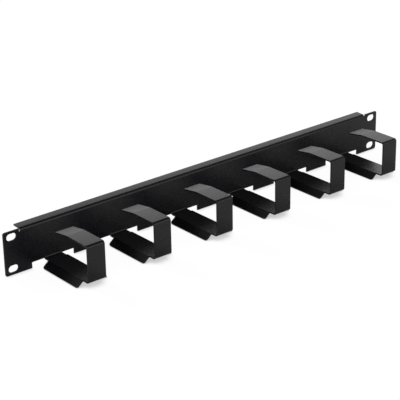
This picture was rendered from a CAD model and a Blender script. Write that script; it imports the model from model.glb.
"""The horizontal cable manager as a finished object: one folded steel sheet, powder coated black.

The sheet is modelled the way it is made. A surface halfway through the metal is drawn from flat
regions and bends, is given the thickness of the steel, and has its cut edges rounded, as the
coating leaves them. Lengths are in metres, in the frame of the CAD part: the panel's rear face
lies in the plane y = 0, and the rings stand out towards -y.
"""
import math

import bmesh
import bpy
from mathutils import Matrix, Vector
from mathutils.geometry import delaunay_2d_cdt


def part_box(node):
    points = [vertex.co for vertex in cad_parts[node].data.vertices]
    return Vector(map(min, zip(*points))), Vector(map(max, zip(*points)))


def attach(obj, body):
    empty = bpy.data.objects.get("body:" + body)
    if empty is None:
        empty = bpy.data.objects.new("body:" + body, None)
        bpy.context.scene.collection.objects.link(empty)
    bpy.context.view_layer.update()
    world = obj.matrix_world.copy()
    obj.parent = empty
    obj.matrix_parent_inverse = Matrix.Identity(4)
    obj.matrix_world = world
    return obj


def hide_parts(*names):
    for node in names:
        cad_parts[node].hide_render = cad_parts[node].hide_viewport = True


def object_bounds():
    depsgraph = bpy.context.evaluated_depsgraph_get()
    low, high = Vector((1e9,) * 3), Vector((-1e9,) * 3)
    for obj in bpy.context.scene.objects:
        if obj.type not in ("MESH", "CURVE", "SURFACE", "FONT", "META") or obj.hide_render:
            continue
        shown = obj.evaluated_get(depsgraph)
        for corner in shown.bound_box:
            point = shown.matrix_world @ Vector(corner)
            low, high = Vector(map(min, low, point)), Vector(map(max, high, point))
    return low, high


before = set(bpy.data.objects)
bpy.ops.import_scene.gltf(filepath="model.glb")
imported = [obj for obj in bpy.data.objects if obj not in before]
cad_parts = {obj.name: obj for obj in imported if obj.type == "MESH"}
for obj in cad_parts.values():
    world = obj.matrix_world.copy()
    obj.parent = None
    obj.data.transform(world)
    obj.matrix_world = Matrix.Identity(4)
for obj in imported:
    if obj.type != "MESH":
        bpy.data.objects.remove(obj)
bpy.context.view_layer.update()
PART_LOW, PART_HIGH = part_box("ring_panel")   # give the panel's size and both depths

MM = 0.001
RIGHT_ANGLE = math.pi / 2

# ---------------------------------------------------------------- sizes of the part

# The sheet and its folds
SHEET = 1.5 * MM
BEND_RADIUS = 1.6 * MM           # inside every sharp fold
OUTER_BEND = BEND_RADIUS + SHEET
MIDDLE_BEND = BEND_RADIUS + SHEET / 2
RELIEF_CLEAR = 0.2 * MM          # how far a relief cut runs past the line of its fold
RELIEF_CORNER = 0.8 * MM
KERF = 0.12 * MM                 # width of the cut that frees a ring's strip above the notch
EDGE_ROUNDING = 0.22 * MM        # radius of the coated cut edges

# The panel
PANEL_LEFT = PART_LOW.x
PANEL_RIGHT = PART_HIGH.x
PANEL_TOP = PART_HIGH.z
PANEL_BOTTOM = -PANEL_TOP        # the slots and the frame's origin lie halfway up
EAR_CORNER = 2.0 * MM
EAR_WIDTH = 17.5 * MM            # flat ear beyond the slit at each end of the flange
FLANGE_SLIT = 1.1 * MM           # between each ear and the flange
FLANGE_DEPTH = PART_HIGH.y
FLANGE_LIFT = math.radians(3)    # how far short of square the flange is folded
SLOT_INSET_ACROSS = 8.75 * MM    # from the end of the panel to the centre of a slot
SLOT_INSET_UP = 5.955 * MM       # from the top or bottom edge to the centre of a slot
SLOT_LENGTH = 10.5 * MM
SLOT_WIDTH = 7.0 * MM

# The rings
RING_COUNT = 6
RING_INSET = 52.55 * MM          # from the end of the panel to the middle of the nearest ring
RING_WIDTH = 19.7 * MM
RING_DEPTH = -PART_LOW.y - SHEET
RING_HEIGHT = 37.5 * MM
RING_DROP = 1.6 * MM             # from the top of the panel down to the top of the ring
NOTCH_WIDTH = 47.2 * MM          # of the panel's bottom edge under a ring
NOTCH_DEPTH = 5.8 * MM
ENTRY_GAP = 20.4 * MM            # between the free end of a ring and the panel
SLOPE_LENGTH = 19.6 * MM         # level length of the sloping free end
SLOPE_ANGLE = math.radians(8.7)
SLOPE_RADIUS = 20.0 * MM         # inside the gentle bend where the slope begins

# The lips along both edges of a ring's floor
LIP_WIDTH = 7.3 * MM
LIP_ANGLE = math.radians(39.5)
LIP_CORNER = 2.5 * MM
LIP_FRONT_GAP = 8.3 * MM         # from the front of the ring to the lip
LIP_REAR_GAP = 7.1 * MM          # from the panel's front face to the lip

# Places worked out from the sizes
PANEL_MIDDLE = -SHEET / 2
LEFT_EAR = PANEL_LEFT + EAR_WIDTH
RIGHT_EAR = PANEL_RIGHT - EAR_WIDTH
FLANGE_LEFT = LEFT_EAR + FLANGE_SLIT
FLANGE_RIGHT = RIGHT_EAR - FLANGE_SLIT
FLANGE_FOLD = PANEL_TOP - OUTER_BEND
SLIT_BOTTOM = FLANGE_FOLD - RELIEF_CLEAR
RING_FOLD = PANEL_TOP - RING_DROP - RING_HEIGHT + OUTER_BEND
LANCE_TOP = RING_FOLD + RELIEF_CLEAR
NOTCH_TOP = PANEL_BOTTOM + NOTCH_DEPTH
LIP_REAR = -SHEET - LIP_REAR_GAP
LIP_FRONT = -SHEET - RING_DEPTH + LIP_FRONT_GAP

# Fineness of the mesh
BEND_STEP = math.radians(9)
SLOPE_STEP = math.radians(1.5)
CORNER_STEP = math.radians(15)
FEWEST_STEPS = 2                 # in any arc
STEP_SLACK = 1e-6                # of a step, so that rounding errors don't add one
FILL_AROUND_HOLES = 5            # output type of delaunay_2d_cdt: valid faces, holes left open
FILL_TOLERANCE = 1e-7
WELD_DISTANCE = SHEET / 1000
CUT_EDGE_ANGLE = math.radians(50)
CUT_EDGE_SEGMENTS = 3

# ---------------------------------------------------------------- the coating

COATING = "powder_coat"
COAT_DARK = (0.0039, 0.0040, 0.0053, 1)
COAT_LIGHT = (0.0051, 0.0052, 0.0066, 1)
COAT_ROUGHNESS = (0.269, 0.291)  # where it is darkest and lightest
COAT_IOR = 1.33
NOISE_SPAN = (0.3, 0.7)          # where nearly all of a noise texture's values lie
CLOUD_SIZE = 4 * MM              # faint clouds in the shade and the roughness
CLOUD_DETAIL = 2
PEEL_SIZE = 2.2 * MM             # orange peel
PEEL_DETAIL = 1
PEEL_HEIGHT = 0.045 * MM
GRAIN_SIZE = 0.35 * MM           # grain of the powder
GRAIN_DETAIL = 2
GRAIN_HEIGHT = 0.04 * MM

# ---------------------------------------------------------------- the studio

WHITE = (1, 1, 1, 1)

# The world: grey by the height of a direction, from level to straight up
HORIZON_LIGHT = 1.65
GROUND_GREY = 0.45
ZENITH_GREY = 0.09
BAND_PEAK = 0.38
BAND_HIGH = 0.70
SKY = ((0.0, GROUND_GREY), (BAND_PEAK, 1.0), (BAND_HIGH, ZENITH_GREY))
BACKDROP_LIGHT = 1.0             # as the camera sees it

# The floor
FLOOR_SIZE = 6.0
FLOOR_GREY = 0.8                 # as it lights the part
FLOOR_MIRRORED_GREY = 1.0        # as the part reflects it
FLOOR_SEEN_GREY = 0.05           # as the camera sees it, on top of the lift
FLOOR_SEEN_LIFT = 0.965          # light added where the camera sees it
CONTACT_REACH = 11 * MM          # how far from the part the contact shadow starts
CONTACT_RANGE = (0.15, 0.85)     # how open the floor is, from full shadow to none
CONTACT_LIGHT = 0.52             # the lift that is left in full shadow
CONTACT_SAMPLES = 8

# The lamps, placed from the middle of the part
KEY_PLACE = Vector((-0.3, 1.1, 0.75))
KEY_SIZE = 0.3
KEY_POWER = 13
FRONT_PLACE = Vector((0.55, -1.2, 0.70))
FRONT_SIZE = 0.5
FRONT_POWER = 1.8

# The camera, to the left of the part, in front of it and above it
CAMERA_YAW = math.radians(39.26)        # of its aim, from +y towards +x
CAMERA_PITCH = math.radians(23.43)      # of its aim, below the horizon
CAMERA_ROLL = math.radians(-1.07)
CAMERA_DISTANCE = 1.449
CAMERA_AIM = Vector((-0.00959, 0, -0.01247))
SENSOR = 36                             # mm
LENS = 129.72                           # mm


# ---------------------------------------------------------------- lines, flats and strips

def arc(centre, radius, first, last, step=CORNER_STEP):
    """Points on an arc from one angle to another, both ends included, in a plane."""
    count = max(FEWEST_STEPS, math.ceil(abs(last - first) / step - STEP_SLACK))
    angles = (first + (last - first) * number / count for number in range(count + 1))
    return [Vector((centre[0] + radius * math.cos(a), centre[1] + radius * math.sin(a)))
            for a in angles]


def bent_line(start, heading, runs, bends):
    """A folded sheet's middle line: straight runs joined by bends to the right.

    bends holds an angle, an inside radius and a step for each bend between two runs. The result
    is one list of points for each run and each bend in turn, with shared end points.
    """
    here = Vector(start)
    stretches = []
    for number, run in enumerate(runs):
        onward = here + run * Vector((math.cos(heading), math.sin(heading)))
        stretches.append([here, onward])
        here = onward
        if number < len(bends):
            turn, inside, step = bends[number]
            radius = inside + SHEET / 2
            first = heading + RIGHT_ANGLE
            out = Vector((math.cos(first), math.sin(first)))
            stretches.append(arc(here - radius * out, radius, first, first - turn, step))
            here = stretches[-1][-1]
            heading -= turn
    return stretches


def add_flat(mesh, outline, holes, place):
    """Fills a flat outline around its holes. place turns a point of the plane into one in space."""
    points = []
    loops = []
    for loop in [outline] + holes:
        loops.append(list(range(len(points), len(points) + len(loop))))
        points.extend(loop)
    filled = delaunay_2d_cdt(points, [], loops, FILL_AROUND_HOLES, FILL_TOLERANCE)
    vertices = [mesh.verts.new(place(point)) for point in filled[0]]
    for corners in filled[2]:
        mesh.faces.new([vertices[number] for number in corners])


def add_strip(mesh, line, edges, place):
    """Quads along a line of points, between two edges across it."""
    rows = [[mesh.verts.new(place(across, point)) for across in edges] for point in line]
    for row, following in zip(rows, rows[1:]):
        mesh.faces.new([row[0], row[1], following[1], following[0]])


def on_section(x, point):
    """Where a point of a section through the folds, drawn in y and z, lies at one x."""
    return (x, point.x, point.y)


# ---------------------------------------------------------------- the panel

def ring_centres():
    """Places of the rings along x."""
    first = PANEL_LEFT + RING_INSET
    pitch = (PANEL_RIGHT - PANEL_LEFT - 2 * RING_INSET) / (RING_COUNT - 1)
    return [first + number * pitch for number in range(RING_COUNT)]


def notch_edge(centre):
    """The panel's bottom edge from left to right past one ring: the notch, and the lanced strip."""
    left = centre - NOTCH_WIDTH / 2
    right = centre + NOTCH_WIDTH / 2
    strip = RING_WIDTH / 2
    inner_z = NOTCH_TOP - RELIEF_CORNER
    points = [Vector((left, PANEL_BOTTOM))]
    points += arc((left + RELIEF_CORNER, inner_z), RELIEF_CORNER, math.pi, RIGHT_ANGLE)
    for side in (-1, 1):         # the cut beside the strip, walked upwards and then downwards
        steps = [(strip + KERF, NOTCH_TOP), (strip + KERF, LANCE_TOP),
                 (strip, LANCE_TOP), (strip, RING_FOLD)]
        points += [Vector((centre + side * x, z)) for x, z in steps[::-side]]
    points += arc((right - RELIEF_CORNER, inner_z), RELIEF_CORNER, RIGHT_ANGLE, 0)
    points.append(Vector((right, PANEL_BOTTOM)))
    return points


def panel_outline():
    """The flat panel, from the bottom of its left ear round to the bottom of its right ear."""
    left = PANEL_LEFT + EAR_CORNER
    right = PANEL_RIGHT - EAR_CORNER
    low = PANEL_BOTTOM + EAR_CORNER
    high = PANEL_TOP - EAR_CORNER
    relief_z = SLIT_BOTTOM + RELIEF_CORNER
    points = arc((left, low), EAR_CORNER, math.pi, 3 * RIGHT_ANGLE)
    for centre in ring_centres():
        points += notch_edge(centre)
    points += arc((right, low), EAR_CORNER, -RIGHT_ANGLE, 0)
    points += arc((right, high), EAR_CORNER, 0, RIGHT_ANGLE)
    points.append(Vector((RIGHT_EAR, PANEL_TOP)))
    points += arc((RIGHT_EAR - RELIEF_CORNER, relief_z), RELIEF_CORNER, 0, -RIGHT_ANGLE)
    points += [Vector((FLANGE_RIGHT, SLIT_BOTTOM)), Vector((FLANGE_RIGHT, FLANGE_FOLD))]
    points += [Vector((FLANGE_LEFT, FLANGE_FOLD)), Vector((FLANGE_LEFT, SLIT_BOTTOM))]
    points += arc((LEFT_EAR + RELIEF_CORNER, relief_z), RELIEF_CORNER, -RIGHT_ANGLE, -math.pi)
    points.append(Vector((LEFT_EAR, PANEL_TOP)))
    points += arc((left, high), EAR_CORNER, RIGHT_ANGLE, math.pi)
    return points


def slot_outline(x, z):
    """A level slot with round ends."""
    radius = SLOT_WIDTH / 2
    half = SLOT_LENGTH / 2 - radius
    return (arc((x + half, z), radius, -RIGHT_ANGLE, RIGHT_ANGLE)
            + arc((x - half, z), radius, RIGHT_ANGLE, 3 * RIGHT_ANGLE))


def add_panel(mesh):
    """The flat panel with its four slots, and the flange folded back along its top."""
    across = (PANEL_LEFT + SLOT_INSET_ACROSS, PANEL_RIGHT - SLOT_INSET_ACROSS)
    up = (PANEL_BOTTOM + SLOT_INSET_UP, PANEL_TOP - SLOT_INSET_UP)
    slots = [slot_outline(x, z) for x in across for z in up]
    add_flat(mesh, panel_outline(), slots, lambda point: (point.x, PANEL_MIDDLE, point.y))

    runs = [0, FLANGE_DEPTH - BEND_RADIUS]
    fold = (RIGHT_ANGLE - FLANGE_LIFT, BEND_RADIUS, BEND_STEP)
    line = bent_line((PANEL_MIDDLE, FLANGE_FOLD), RIGHT_ANGLE, runs, [fold])
    for stretch in line[1:]:
        add_strip(mesh, stretch, (FLANGE_LEFT, FLANGE_RIGHT), on_section)


# ---------------------------------------------------------------- the rings

def add_ring(mesh, centre):
    """One ring: a strip that runs forward from the panel's bottom edge, up and back again."""
    outer_slope = SLOPE_RADIUS + SHEET
    runs = [
        0,
        RING_DEPTH - BEND_RADIUS - OUTER_BEND,
        RING_HEIGHT - 2 * OUTER_BEND,
        RING_DEPTH - OUTER_BEND - ENTRY_GAP - SLOPE_LENGTH,
        (SLOPE_LENGTH - outer_slope * math.sin(SLOPE_ANGLE)) / math.cos(SLOPE_ANGLE),
    ]
    fold = (RIGHT_ANGLE, BEND_RADIUS, BEND_STEP)
    slope = (SLOPE_ANGLE, SLOPE_RADIUS, SLOPE_STEP)
    line = bent_line((PANEL_MIDDLE, RING_FOLD), -RIGHT_ANGLE, runs, [fold, fold, fold, slope])
    edges = (centre - RING_WIDTH / 2, centre + RING_WIDTH / 2)
    floor_run = line[2]
    for stretch in line[1:]:
        if stretch is not floor_run:
            add_strip(mesh, stretch, edges, on_section)

    # The floor is filled as an outline, which has corners where the lips begin and end.
    rear, front = floor_run
    height = rear.y
    side_points = [rear.x, LIP_REAR, LIP_FRONT, front.x]
    outline = [Vector((edges[0], y)) for y in side_points]
    outline += [Vector((edges[1], y)) for y in reversed(side_points)]
    add_flat(mesh, outline, [], lambda point: (point.x, point.y, height))
    for side, root in zip((-1, 1), edges):
        add_lip(mesh, root, side, height)


def add_lip(mesh, root, side, height):
    """A lip: a fold along the strip's side edge, then a flat with round outer corners."""
    fold = arc((0, height - MIDDLE_BEND), MIDDLE_BEND, RIGHT_ANGLE, RIGHT_ANGLE - LIP_ANGLE,
               BEND_STEP)
    add_strip(mesh, fold, (LIP_REAR, LIP_FRONT),
              lambda y, point: (root + side * point.x, y, point.y))

    start = fold[-1]
    along = Vector((math.cos(LIP_ANGLE), -math.sin(LIP_ANGLE)))
    wide = LIP_WIDTH - LIP_CORNER
    outline = [Vector((0, LIP_FRONT))]
    outline += arc((wide, LIP_FRONT + LIP_CORNER), LIP_CORNER, -RIGHT_ANGLE, 0)
    outline += arc((wide, LIP_REAR - LIP_CORNER), LIP_CORNER, 0, RIGHT_ANGLE)
    outline.append(Vector((0, LIP_REAR)))

    def on_lip(point):
        section = start + along * point.x
        return (root + side * section.x, point.y, section.y)

    add_flat(mesh, outline, [], on_lip)


# ---------------------------------------------------------------- the whole part

def new_object(name, data):
    """An object in the scene."""
    thing = bpy.data.objects.new(name, data)
    bpy.context.scene.collection.objects.link(thing)
    return thing


def folded_sheet(material):
    """The whole part: its middle surface, thickened, with rounded cut edges."""
    mesh = bmesh.new()
    add_panel(mesh)
    for centre in ring_centres():
        add_ring(mesh, centre)
    bmesh.ops.remove_doubles(mesh, verts=mesh.verts, dist=WELD_DISTANCE)
    bmesh.ops.recalc_face_normals(mesh, faces=mesh.faces)
    for face in mesh.faces:
        face.smooth = True
    data = bpy.data.meshes.new("coated_sheet")
    mesh.to_mesh(data)
    mesh.free()
    data.materials.append(material)
    piece = new_object("coated_sheet", data)

    thickness = piece.modifiers.new("thickness", "SOLIDIFY")
    thickness.thickness = SHEET
    thickness.offset = 0
    thickness.use_even_offset = True
    rounding = piece.modifiers.new("rounded_edges", "BEVEL")
    rounding.width = EDGE_ROUNDING
    rounding.segments = CUT_EDGE_SEGMENTS
    rounding.limit_method = "ANGLE"
    rounding.angle_limit = CUT_EDGE_ANGLE
    rounding.use_clamp_overlap = False
    rounding.harden_normals = True
    return piece


# ---------------------------------------------------------------- materials

def node_tree(owner):
    """The nodes and the links of a material or a world, switched on."""
    owner.use_nodes = True
    return owner.node_tree.nodes, owner.node_tree.links


def stretched(nodes, links, value, found, wanted, curve="LINEAR"):
    """A value mapped from one range to another, each given as its low and its high end."""
    node = nodes.new("ShaderNodeMapRange")
    node.interpolation_type = curve
    names = ("From Min", "From Max", "To Min", "To Max")
    for name, end in zip(names, (*found, *wanted)):
        node.inputs[name].default_value = end
    links.new(value, node.inputs["Value"])
    return node.outputs["Result"]


def combined(nodes, links, operation, first, second):
    """Two values put together by a Math node."""
    node = nodes.new("ShaderNodeMath")
    node.operation = operation
    links.new(first, node.inputs[0])
    links.new(second, node.inputs[1])
    return node.outputs["Value"]


def ray_kind(nodes, links, *names):
    """1 for the kinds of ray that are named, as the Light Path node names them, otherwise 0."""
    path = nodes.new("ShaderNodeLightPath")
    found = path.outputs[names[0]]
    for name in names[1:]:
        found = combined(nodes, links, "MAXIMUM", found, path.outputs[name])
    return found


def powder_coat():
    """Satin black powder coat: a fine even grain on a faint orange peel."""
    material = bpy.data.materials.new(COATING)
    nodes, links = node_tree(material)
    shader = nodes["Principled BSDF"]
    shader.inputs["Metallic"].default_value = 0.0
    shader.inputs["IOR"].default_value = COAT_IOR
    place = nodes.new("ShaderNodeTexCoord").outputs["Object"]

    def noise(size, detail):
        texture = nodes.new("ShaderNodeTexNoise")
        texture.inputs["Scale"].default_value = 1 / size
        texture.inputs["Detail"].default_value = detail
        links.new(place, texture.inputs["Vector"])
        return texture.outputs["Fac"]

    cloud = noise(CLOUD_SIZE, CLOUD_DETAIL)
    shade = nodes.new("ShaderNodeMix")
    shade.data_type = "RGBA"
    shade.inputs["A"].default_value = COAT_DARK
    shade.inputs["B"].default_value = COAT_LIGHT
    links.new(stretched(nodes, links, cloud, NOISE_SPAN, (0, 1)), shade.inputs["Factor"])
    links.new(shade.outputs["Result"], shader.inputs["Base Color"])
    links.new(stretched(nodes, links, cloud, NOISE_SPAN, COAT_ROUGHNESS),
              shader.inputs["Roughness"])

    peel = nodes.new("ShaderNodeBump")
    peel.inputs["Distance"].default_value = PEEL_HEIGHT
    links.new(noise(PEEL_SIZE, PEEL_DETAIL), peel.inputs["Height"])
    grain = nodes.new("ShaderNodeBump")
    grain.inputs["Distance"].default_value = GRAIN_HEIGHT
    links.new(noise(GRAIN_SIZE, GRAIN_DETAIL), grain.inputs["Height"])
    links.new(peel.outputs["Normal"], grain.inputs["Normal"])
    links.new(grain.outputs["Normal"], shader.inputs["Normal"])
    return material


def floor_material():
    """A pale grey that the camera sees as white, except close to the part."""
    material = bpy.data.materials.new("floor")
    nodes, links = node_tree(material)
    nodes.clear()
    kinds = [(("Is Glossy Ray", "Is Transmission Ray"), FLOOR_MIRRORED_GREY),
             (("Is Camera Ray",), FLOOR_SEEN_GREY)]
    shade = None
    for names, grey in kinds:
        mix = nodes.new("ShaderNodeMix")
        mix.inputs["A"].default_value = FLOOR_GREY
        mix.inputs["B"].default_value = grey
        if shade:
            links.new(shade, mix.inputs["A"])
        links.new(ray_kind(nodes, links, *names), mix.inputs["Factor"])
        shade = mix.outputs["Result"]
    lit = nodes.new("ShaderNodeBsdfDiffuse")
    links.new(shade, lit.inputs["Color"])

    contact = nodes.new("ShaderNodeAmbientOcclusion")
    contact.samples = CONTACT_SAMPLES
    contact.inputs["Distance"].default_value = CONTACT_REACH
    strength = stretched(nodes, links, contact.outputs["AO"], CONTACT_RANGE,
                         (CONTACT_LIGHT, FLOOR_SEEN_LIFT), "SMOOTHSTEP")
    seen = ray_kind(nodes, links, "Is Camera Ray")
    lift = nodes.new("ShaderNodeEmission")
    lift.inputs["Color"].default_value = WHITE
    links.new(combined(nodes, links, "MULTIPLY", seen, strength), lift.inputs["Strength"])

    add = nodes.new("ShaderNodeAddShader")
    output = nodes.new("ShaderNodeOutputMaterial")
    links.new(lit.outputs["BSDF"], add.inputs[0])
    links.new(lift.outputs["Emission"], add.inputs[1])
    links.new(add.outputs["Shader"], output.inputs["Surface"])
    return material


# ---------------------------------------------------------------- floor, world, lamps, camera

def studio_floor(height):
    """A pale floor under the part."""
    half = FLOOR_SIZE / 2
    corners = [(-half, -half), (half, -half), (half, half), (-half, half)]
    data = bpy.data.meshes.new("floor")
    data.from_pydata([(x, y, height) for x, y in corners], [], [(0, 1, 2, 3)])
    data.materials.append(floor_material())
    floor = new_object("floor", data)


def studio_world():
    """A white band round the horizon, which fades into a dimmer ceiling."""
    world = bpy.data.worlds.new("studio")
    bpy.context.scene.world = world
    nodes, links = node_tree(world)
    nodes.clear()
    direction = nodes.new("ShaderNodeTexCoord")
    split = nodes.new("ShaderNodeSeparateXYZ")
    links.new(direction.outputs["Generated"], split.inputs["Vector"])
    sky = nodes.new("ShaderNodeValToRGB")
    sky.color_ramp.interpolation = "EASE"
    stops = sky.color_ramp.elements
    stops.new(BAND_PEAK)
    for stop, (height, grey) in zip(stops, SKY):
        stop.position = height
        stop.color = (grey, grey, grey, 1)
    links.new(split.outputs["Z"], sky.inputs["Fac"])

    around = nodes.new("ShaderNodeBackground")
    around.inputs["Strength"].default_value = HORIZON_LIGHT
    links.new(sky.outputs["Color"], around.inputs["Color"])
    backdrop = nodes.new("ShaderNodeBackground")
    backdrop.inputs["Color"].default_value = WHITE
    backdrop.inputs["Strength"].default_value = BACKDROP_LIGHT
    mix = nodes.new("ShaderNodeMixShader")
    output = nodes.new("ShaderNodeOutputWorld")
    links.new(ray_kind(nodes, links, "Is Camera Ray"), mix.inputs["Fac"])
    links.new(around.outputs["Background"], mix.inputs[1])
    links.new(backdrop.outputs["Background"], mix.inputs[2])
    links.new(mix.outputs["Shader"], output.inputs["Surface"])


def softbox(name, place, aim, size, power, in_reflections=True):
    """A square area lamp that faces a point."""
    data = bpy.data.lights.new(name, "AREA")
    data.shape = "SQUARE"
    data.size = size
    data.energy = power
    lamp = new_object(name, data)
    lamp.location = place
    lamp.rotation_mode = "QUATERNION"
    lamp.rotation_quaternion = (place - aim).to_track_quat("Z", "Y")
    lamp.visible_glossy = in_reflections


def studio_camera():
    """The camera, aimed at the middle of the panel."""
    aim = Vector((math.sin(CAMERA_YAW) * math.cos(CAMERA_PITCH),
                  math.cos(CAMERA_YAW) * math.cos(CAMERA_PITCH), -math.sin(CAMERA_PITCH)))
    level = Vector((math.cos(CAMERA_YAW), -math.sin(CAMERA_YAW), 0))
    above = level.cross(aim)
    right = math.cos(CAMERA_ROLL) * level + math.sin(CAMERA_ROLL) * above
    up = -math.sin(CAMERA_ROLL) * level + math.cos(CAMERA_ROLL) * above
    turn = Matrix((right, up, -aim)).transposed().to_4x4()
    data = bpy.data.cameras.new("camera")
    data.sensor_width = SENSOR
    data.lens = LENS
    camera = new_object("camera", data)
    camera.matrix_world = Matrix.Translation(CAMERA_AIM - CAMERA_DISTANCE * aim) @ turn
    bpy.context.scene.camera = camera


# ---------------------------------------------------------------- the scene

coated_sheet = folded_sheet(powder_coat())
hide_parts("ring_panel")
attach(coated_sheet, "root")

visual_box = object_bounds()
studio_floor(visual_box[0].z)
studio_world()
middle = (visual_box[0] + visual_box[1]) / 2
softbox("key", middle + KEY_PLACE, middle, KEY_SIZE, KEY_POWER, in_reflections=False)
softbox("front", middle + FRONT_PLACE, middle, FRONT_SIZE, FRONT_POWER)
studio_camera()
bpy.context.scene.view_settings.view_transform = "Standard"
